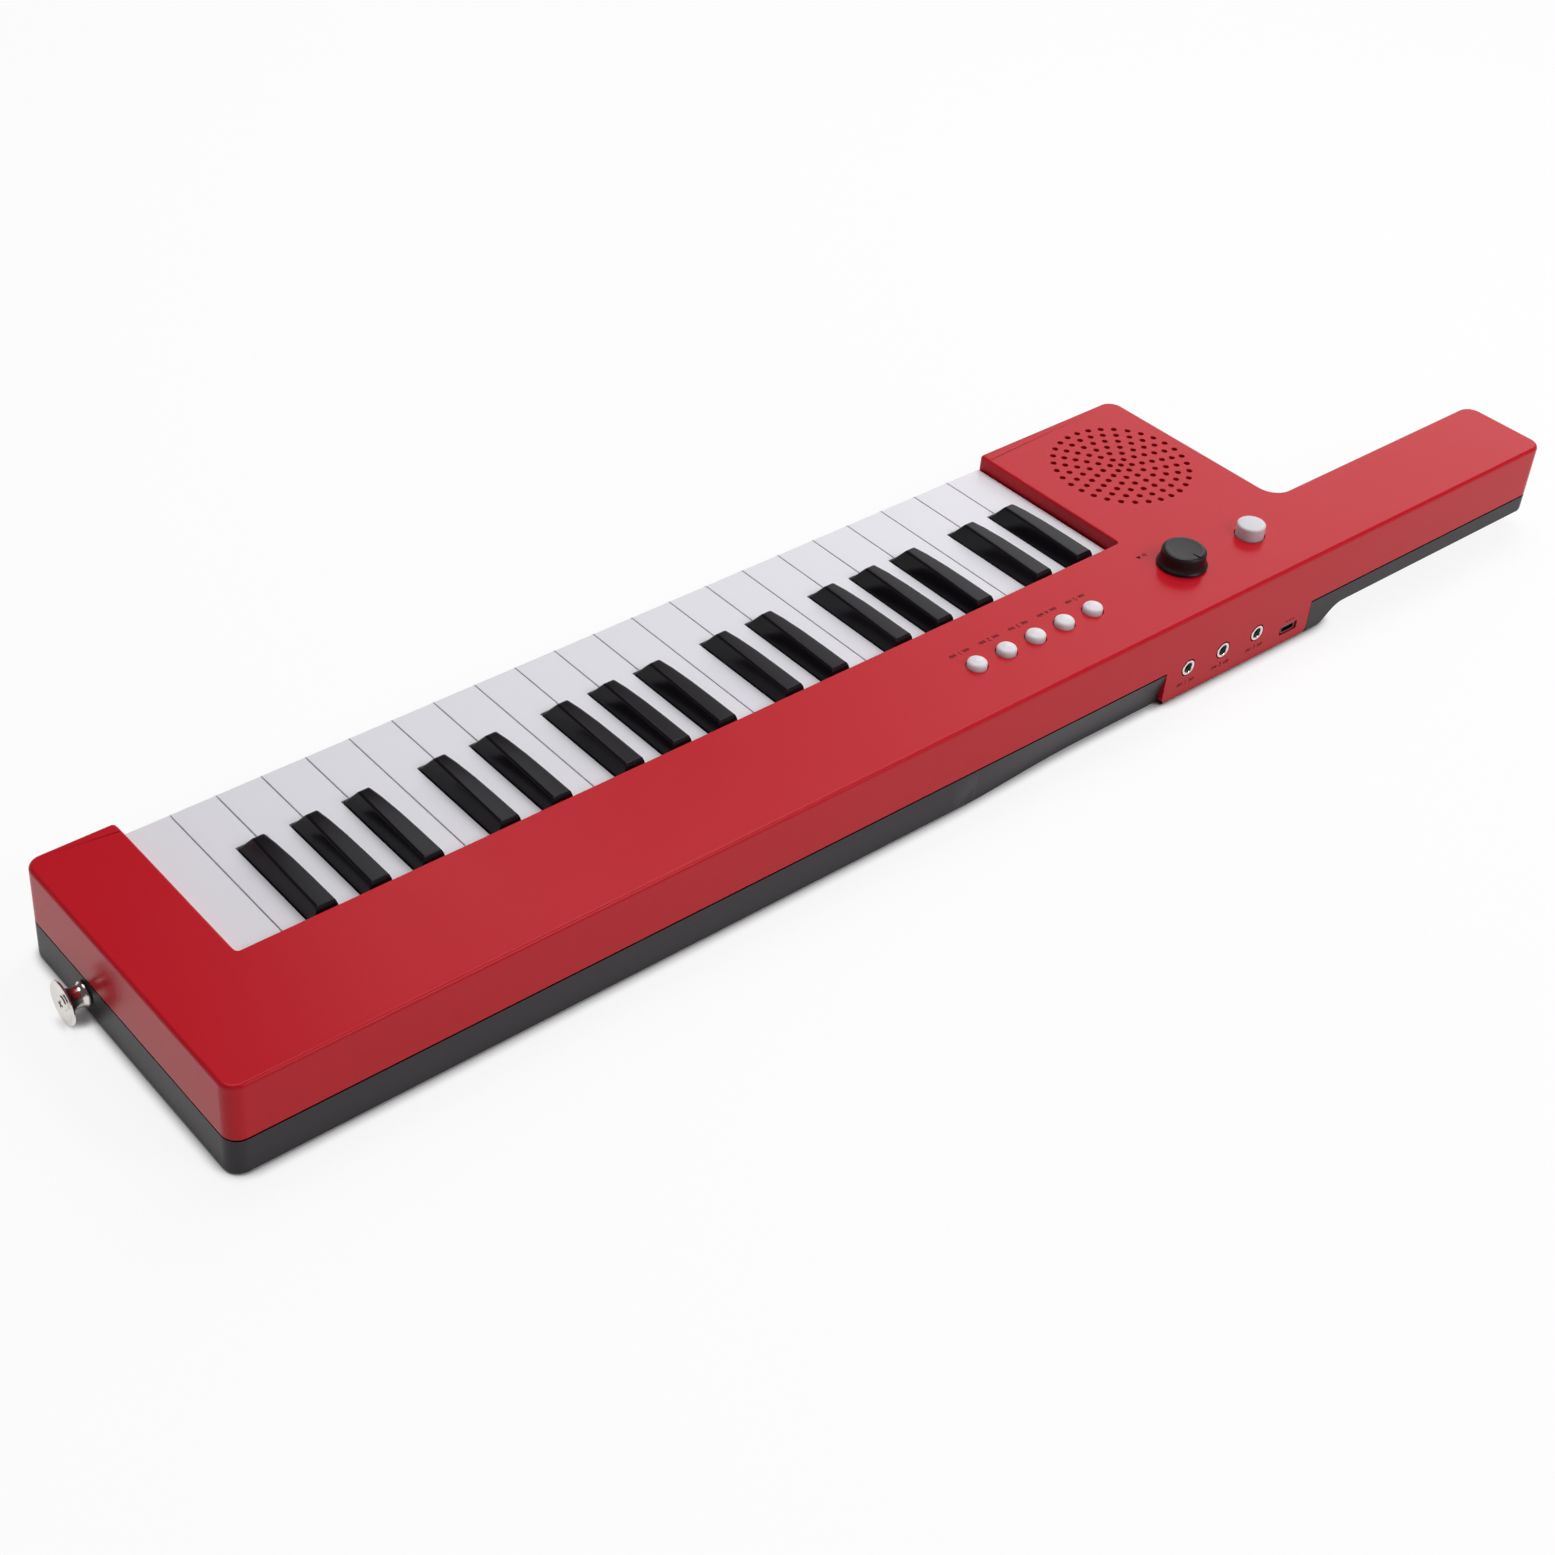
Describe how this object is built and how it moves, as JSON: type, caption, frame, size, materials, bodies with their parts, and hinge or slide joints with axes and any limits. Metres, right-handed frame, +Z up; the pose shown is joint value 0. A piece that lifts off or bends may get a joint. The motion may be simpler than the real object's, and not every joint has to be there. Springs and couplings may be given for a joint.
{
  "type": "keytar",
  "caption": "Small keyboard synthesiser worn like a guitar: red case with short neck, mini keys, speaker grille, volume knob, buttons, jacks and strap pins on a grey tray",
  "frame": {"origin": "centre of the whole object in plan, on the plane that its underside rests on", "axes": "+X along the keyboard from the neck to the treble end, +Y from the key fronts to the jack side, +Z up from the underside to the panel"},
  "size_m": [0.7404, 0.148, 0.0524],
  "materials": {
    "red_plastic": "satin, fine moulded grain",
    "grey_plastic": "satin, fine moulded grain",
    "white_plastic": "semi-gloss",
    "black_plastic": "gloss",
    "knob_plastic": "satin",
    "button_plastic": "satin",
    "frame_plastic": "matt",
    "contact_rubber": "matt",
    "circuit_board": "lacquered",
    "nickel": "bright nickel plate",
    "steel": "bright zinc plate"
  },
  "bodies": {
    "case": {"upper_case": "red_plastic", "lower_case": "grey_plastic", "key_frame": "frame_plastic", "key_contact_board": "circuit_board", "key_contact_rubber": "contact_rubber", "main_board": "circuit_board", "speaker": "frame_plastic", "volume_potentiometer": "steel", "audio_jack_1": "nickel", "audio_jack_2": "nickel", "audio_jack_3": "nickel", "usb_socket": "steel", "strap_pin_treble": "nickel", "strap_pin_neck_side": "nickel"},
    "battery_door": {"battery_door": "grey_plastic"},
    "volume_knob": {"volume_knob": "knob_plastic"},
    "pitch_wheel": {"pitch_wheel": "frame_plastic"},
    "power_button": {"power_button": "button_plastic"},
    "panel_button_1": {"panel_button_1": "button_plastic"},
    "panel_button_2": {"panel_button_2": "button_plastic"},
    "panel_button_3": {"panel_button_3": "button_plastic"},
    "panel_button_4": {"panel_button_4": "button_plastic"},
    "panel_button_5": {"panel_button_5": "button_plastic"},
    "key_c3": {"key_c3": "white_plastic"},
    "key_d3": {"key_d3": "white_plastic"},
    "key_e3": {"key_e3": "white_plastic"},
    "key_f3": {"key_f3": "white_plastic"},
    "key_g3": {"key_g3": "white_plastic"},
    "key_a3": {"key_a3": "white_plastic"},
    "key_b3": {"key_b3": "white_plastic"},
    "key_c4": {"key_c4": "white_plastic"},
    "key_d4": {"key_d4": "white_plastic"},
    "key_e4": {"key_e4": "white_plastic"},
    "key_f4": {"key_f4": "white_plastic"},
    "key_g4": {"key_g4": "white_plastic"},
    "key_a4": {"key_a4": "white_plastic"},
    "key_b4": {"key_b4": "white_plastic"},
    "key_c5": {"key_c5": "white_plastic"},
    "key_d5": {"key_d5": "white_plastic"},
    "key_e5": {"key_e5": "white_plastic"},
    "key_f5": {"key_f5": "white_plastic"},
    "key_g5": {"key_g5": "white_plastic"},
    "key_a5": {"key_a5": "white_plastic"},
    "key_b5": {"key_b5": "white_plastic"},
    "key_c6": {"key_c6": "white_plastic"},
    "key_c3_sharp": {"key_c3_sharp": "black_plastic"},
    "key_d3_sharp": {"key_d3_sharp": "black_plastic"},
    "key_f3_sharp": {"key_f3_sharp": "black_plastic"},
    "key_g3_sharp": {"key_g3_sharp": "black_plastic"},
    "key_a3_sharp": {"key_a3_sharp": "black_plastic"},
    "key_c4_sharp": {"key_c4_sharp": "black_plastic"},
    "key_d4_sharp": {"key_d4_sharp": "black_plastic"},
    "key_f4_sharp": {"key_f4_sharp": "black_plastic"},
    "key_g4_sharp": {"key_g4_sharp": "black_plastic"},
    "key_a4_sharp": {"key_a4_sharp": "black_plastic"},
    "key_c5_sharp": {"key_c5_sharp": "black_plastic"},
    "key_d5_sharp": {"key_d5_sharp": "black_plastic"},
    "key_f5_sharp": {"key_f5_sharp": "black_plastic"},
    "key_g5_sharp": {"key_g5_sharp": "black_plastic"},
    "key_a5_sharp": {"key_a5_sharp": "black_plastic"}
  },
  "joints": [
    {"name": "battery_door_hinge", "type": "hinge", "parent": "case", "child": "battery_door", "pos_m": [0.09365, 0.06725, 0.0003], "axis": [1, 0, 0], "range_deg": [0, 75]},
    {"name": "volume_turn", "type": "hinge", "parent": "case", "child": "volume_knob", "pos_m": [-0.15115, 0.04255, 0.05], "axis": [0, 0, 1], "range_deg": [-140, 140]},
    {"name": "pitch_wheel_turn", "type": "hinge", "parent": "case", "child": "pitch_wheel", "pos_m": [-0.29085, 0.05145, 0.0179], "axis": [0, 1, 0], "range_deg": [-35, 35], "stiffness_Nm_per_rad": 0.05},
    {"name": "power_button_press", "type": "slide", "parent": "case", "child": "power_button", "axis": [0, 0, -1], "range_m": [0, 0.001], "stiffness_N_per_m": 400, "springref_m": -0.001},
    {"name": "panel_button_1_press", "type": "slide", "parent": "case", "child": "panel_button_1", "axis": [0, 0, -1], "range_m": [0, 0.001], "stiffness_N_per_m": 400, "springref_m": -0.001},
    {"name": "panel_button_2_press", "type": "slide", "parent": "case", "child": "panel_button_2", "axis": [0, 0, -1], "range_m": [0, 0.001], "stiffness_N_per_m": 400, "springref_m": -0.001},
    {"name": "panel_button_3_press", "type": "slide", "parent": "case", "child": "panel_button_3", "axis": [0, 0, -1], "range_m": [0, 0.001], "stiffness_N_per_m": 400, "springref_m": -0.001},
    {"name": "panel_button_4_press", "type": "slide", "parent": "case", "child": "panel_button_4", "axis": [0, 0, -1], "range_m": [0, 0.001], "stiffness_N_per_m": 400, "springref_m": -0.001},
    {"name": "panel_button_5_press", "type": "slide", "parent": "case", "child": "panel_button_5", "axis": [0, 0, -1], "range_m": [0, 0.001], "stiffness_N_per_m": 400, "springref_m": -0.001},
    {"name": "key_c3_press", "type": "hinge", "parent": "case", "child": "key_c3", "pos_m": [-0.13378, 0.03255, 0.031], "axis": [1, 0, 0], "range_deg": [0, 2.4], "stiffness_Nm_per_rad": 0.3, "springref_deg": -4.98},
    {"name": "key_d3_press", "type": "hinge", "parent": "case", "child": "key_d3", "pos_m": [-0.10865, 0.03255, 0.031], "axis": [1, 0, 0], "range_deg": [0, 2.4], "stiffness_Nm_per_rad": 0.3, "springref_deg": -4.98},
    {"name": "key_e3_press", "type": "hinge", "parent": "case", "child": "key_e3", "pos_m": [-0.08352, 0.03255, 0.031], "axis": [1, 0, 0], "range_deg": [0, 2.4], "stiffness_Nm_per_rad": 0.3, "springref_deg": -4.98},
    {"name": "key_f3_press", "type": "hinge", "parent": "case", "child": "key_f3", "pos_m": [-0.07193, 0.03255, 0.031], "axis": [1, 0, 0], "range_deg": [0, 2.4], "stiffness_Nm_per_rad": 0.3, "springref_deg": -4.98},
    {"name": "key_g3_press", "type": "hinge", "parent": "case", "child": "key_g3", "pos_m": [-0.04788, 0.03255, 0.031], "axis": [1, 0, 0], "range_deg": [0, 2.4], "stiffness_Nm_per_rad": 0.3, "springref_deg": -4.98},
    {"name": "key_a3_press", "type": "hinge", "parent": "case", "child": "key_a3", "pos_m": [-0.02383, 0.03255, 0.031], "axis": [1, 0, 0], "range_deg": [0, 2.4], "stiffness_Nm_per_rad": 0.3, "springref_deg": -4.98},
    {"name": "key_b3_press", "type": "hinge", "parent": "case", "child": "key_b3", "pos_m": [0.00022, 0.03255, 0.031], "axis": [1, 0, 0], "range_deg": [0, 2.4], "stiffness_Nm_per_rad": 0.3, "springref_deg": -4.98},
    {"name": "key_c4_press", "type": "hinge", "parent": "case", "child": "key_c4", "pos_m": [0.01182, 0.03255, 0.031], "axis": [1, 0, 0], "range_deg": [0, 2.4], "stiffness_Nm_per_rad": 0.3, "springref_deg": -4.98},
    {"name": "key_d4_press", "type": "hinge", "parent": "case", "child": "key_d4", "pos_m": [0.03695, 0.03255, 0.031], "axis": [1, 0, 0], "range_deg": [0, 2.4], "stiffness_Nm_per_rad": 0.3, "springref_deg": -4.98},
    {"name": "key_e4_press", "type": "hinge", "parent": "case", "child": "key_e4", "pos_m": [0.06208, 0.03255, 0.031], "axis": [1, 0, 0], "range_deg": [0, 2.4], "stiffness_Nm_per_rad": 0.3, "springref_deg": -4.98},
    {"name": "key_f4_press", "type": "hinge", "parent": "case", "child": "key_f4", "pos_m": [0.07367, 0.03255, 0.031], "axis": [1, 0, 0], "range_deg": [0, 2.4], "stiffness_Nm_per_rad": 0.3, "springref_deg": -4.98},
    {"name": "key_g4_press", "type": "hinge", "parent": "case", "child": "key_g4", "pos_m": [0.09772, 0.03255, 0.031], "axis": [1, 0, 0], "range_deg": [0, 2.4], "stiffness_Nm_per_rad": 0.3, "springref_deg": -4.98},
    {"name": "key_a4_press", "type": "hinge", "parent": "case", "child": "key_a4", "pos_m": [0.12178, 0.03255, 0.031], "axis": [1, 0, 0], "range_deg": [0, 2.4], "stiffness_Nm_per_rad": 0.3, "springref_deg": -4.98},
    {"name": "key_b4_press", "type": "hinge", "parent": "case", "child": "key_b4", "pos_m": [0.14583, 0.03255, 0.031], "axis": [1, 0, 0], "range_deg": [0, 2.4], "stiffness_Nm_per_rad": 0.3, "springref_deg": -4.98},
    {"name": "key_c5_press", "type": "hinge", "parent": "case", "child": "key_c5", "pos_m": [0.15742, 0.03255, 0.031], "axis": [1, 0, 0], "range_deg": [0, 2.4], "stiffness_Nm_per_rad": 0.3, "springref_deg": -4.98},
    {"name": "key_d5_press", "type": "hinge", "parent": "case", "child": "key_d5", "pos_m": [0.18255, 0.03255, 0.031], "axis": [1, 0, 0], "range_deg": [0, 2.4], "stiffness_Nm_per_rad": 0.3, "springref_deg": -4.98},
    {"name": "key_e5_press", "type": "hinge", "parent": "case", "child": "key_e5", "pos_m": [0.20768, 0.03255, 0.031], "axis": [1, 0, 0], "range_deg": [0, 2.4], "stiffness_Nm_per_rad": 0.3, "springref_deg": -4.98},
    {"name": "key_f5_press", "type": "hinge", "parent": "case", "child": "key_f5", "pos_m": [0.21927, 0.03255, 0.031], "axis": [1, 0, 0], "range_deg": [0, 2.4], "stiffness_Nm_per_rad": 0.3, "springref_deg": -4.98},
    {"name": "key_g5_press", "type": "hinge", "parent": "case", "child": "key_g5", "pos_m": [0.24332, 0.03255, 0.031], "axis": [1, 0, 0], "range_deg": [0, 2.4], "stiffness_Nm_per_rad": 0.3, "springref_deg": -4.98},
    {"name": "key_a5_press", "type": "hinge", "parent": "case", "child": "key_a5", "pos_m": [0.26737, 0.03255, 0.031], "axis": [1, 0, 0], "range_deg": [0, 2.4], "stiffness_Nm_per_rad": 0.3, "springref_deg": -4.98},
    {"name": "key_b5_press", "type": "hinge", "parent": "case", "child": "key_b5", "pos_m": [0.29142, 0.03255, 0.031], "axis": [1, 0, 0], "range_deg": [0, 2.4], "stiffness_Nm_per_rad": 0.3, "springref_deg": -4.98},
    {"name": "key_c6_press", "type": "hinge", "parent": "case", "child": "key_c6", "pos_m": [0.30735, 0.03255, 0.031], "axis": [1, 0, 0], "range_deg": [0, 2.4], "stiffness_Nm_per_rad": 0.3, "springref_deg": -4.98},
    {"name": "key_c3_sharp_press", "type": "hinge", "parent": "case", "child": "key_c3_sharp", "pos_m": [-0.12122, 0.03255, 0.031], "axis": [1, 0, 0], "range_deg": [0, 2.4], "stiffness_Nm_per_rad": 0.3, "springref_deg": -4.98},
    {"name": "key_d3_sharp_press", "type": "hinge", "parent": "case", "child": "key_d3_sharp", "pos_m": [-0.09608, 0.03255, 0.031], "axis": [1, 0, 0], "range_deg": [0, 2.4], "stiffness_Nm_per_rad": 0.3, "springref_deg": -4.98},
    {"name": "key_f3_sharp_press", "type": "hinge", "parent": "case", "child": "key_f3_sharp", "pos_m": [-0.0599, 0.03255, 0.031], "axis": [1, 0, 0], "range_deg": [0, 2.4], "stiffness_Nm_per_rad": 0.3, "springref_deg": -4.98},
    {"name": "key_g3_sharp_press", "type": "hinge", "parent": "case", "child": "key_g3_sharp", "pos_m": [-0.03585, 0.03255, 0.031], "axis": [1, 0, 0], "range_deg": [0, 2.4], "stiffness_Nm_per_rad": 0.3, "springref_deg": -4.98},
    {"name": "key_a3_sharp_press", "type": "hinge", "parent": "case", "child": "key_a3_sharp", "pos_m": [-0.0118, 0.03255, 0.031], "axis": [1, 0, 0], "range_deg": [0, 2.4], "stiffness_Nm_per_rad": 0.3, "springref_deg": -4.98},
    {"name": "key_c4_sharp_press", "type": "hinge", "parent": "case", "child": "key_c4_sharp", "pos_m": [0.02438, 0.03255, 0.031], "axis": [1, 0, 0], "range_deg": [0, 2.4], "stiffness_Nm_per_rad": 0.3, "springref_deg": -4.98},
    {"name": "key_d4_sharp_press", "type": "hinge", "parent": "case", "child": "key_d4_sharp", "pos_m": [0.04952, 0.03255, 0.031], "axis": [1, 0, 0], "range_deg": [0, 2.4], "stiffness_Nm_per_rad": 0.3, "springref_deg": -4.98},
    {"name": "key_f4_sharp_press", "type": "hinge", "parent": "case", "child": "key_f4_sharp", "pos_m": [0.0857, 0.03255, 0.031], "axis": [1, 0, 0], "range_deg": [0, 2.4], "stiffness_Nm_per_rad": 0.3, "springref_deg": -4.98},
    {"name": "key_g4_sharp_press", "type": "hinge", "parent": "case", "child": "key_g4_sharp", "pos_m": [0.10975, 0.03255, 0.031], "axis": [1, 0, 0], "range_deg": [0, 2.4], "stiffness_Nm_per_rad": 0.3, "springref_deg": -4.98},
    {"name": "key_a4_sharp_press", "type": "hinge", "parent": "case", "child": "key_a4_sharp", "pos_m": [0.1338, 0.03255, 0.031], "axis": [1, 0, 0], "range_deg": [0, 2.4], "stiffness_Nm_per_rad": 0.3, "springref_deg": -4.98},
    {"name": "key_c5_sharp_press", "type": "hinge", "parent": "case", "child": "key_c5_sharp", "pos_m": [0.16998, 0.03255, 0.031], "axis": [1, 0, 0], "range_deg": [0, 2.4], "stiffness_Nm_per_rad": 0.3, "springref_deg": -4.98},
    {"name": "key_d5_sharp_press", "type": "hinge", "parent": "case", "child": "key_d5_sharp", "pos_m": [0.19512, 0.03255, 0.031], "axis": [1, 0, 0], "range_deg": [0, 2.4], "stiffness_Nm_per_rad": 0.3, "springref_deg": -4.98},
    {"name": "key_f5_sharp_press", "type": "hinge", "parent": "case", "child": "key_f5_sharp", "pos_m": [0.2313, 0.03255, 0.031], "axis": [1, 0, 0], "range_deg": [0, 2.4], "stiffness_Nm_per_rad": 0.3, "springref_deg": -4.98},
    {"name": "key_g5_sharp_press", "type": "hinge", "parent": "case", "child": "key_g5_sharp", "pos_m": [0.25535, 0.03255, 0.031], "axis": [1, 0, 0], "range_deg": [0, 2.4], "stiffness_Nm_per_rad": 0.3, "springref_deg": -4.98},
    {"name": "key_a5_sharp_press", "type": "hinge", "parent": "case", "child": "key_a5_sharp", "pos_m": [0.2794, 0.03255, 0.031], "axis": [1, 0, 0], "range_deg": [0, 2.4], "stiffness_Nm_per_rad": 0.3, "springref_deg": -4.98}
  ]
}
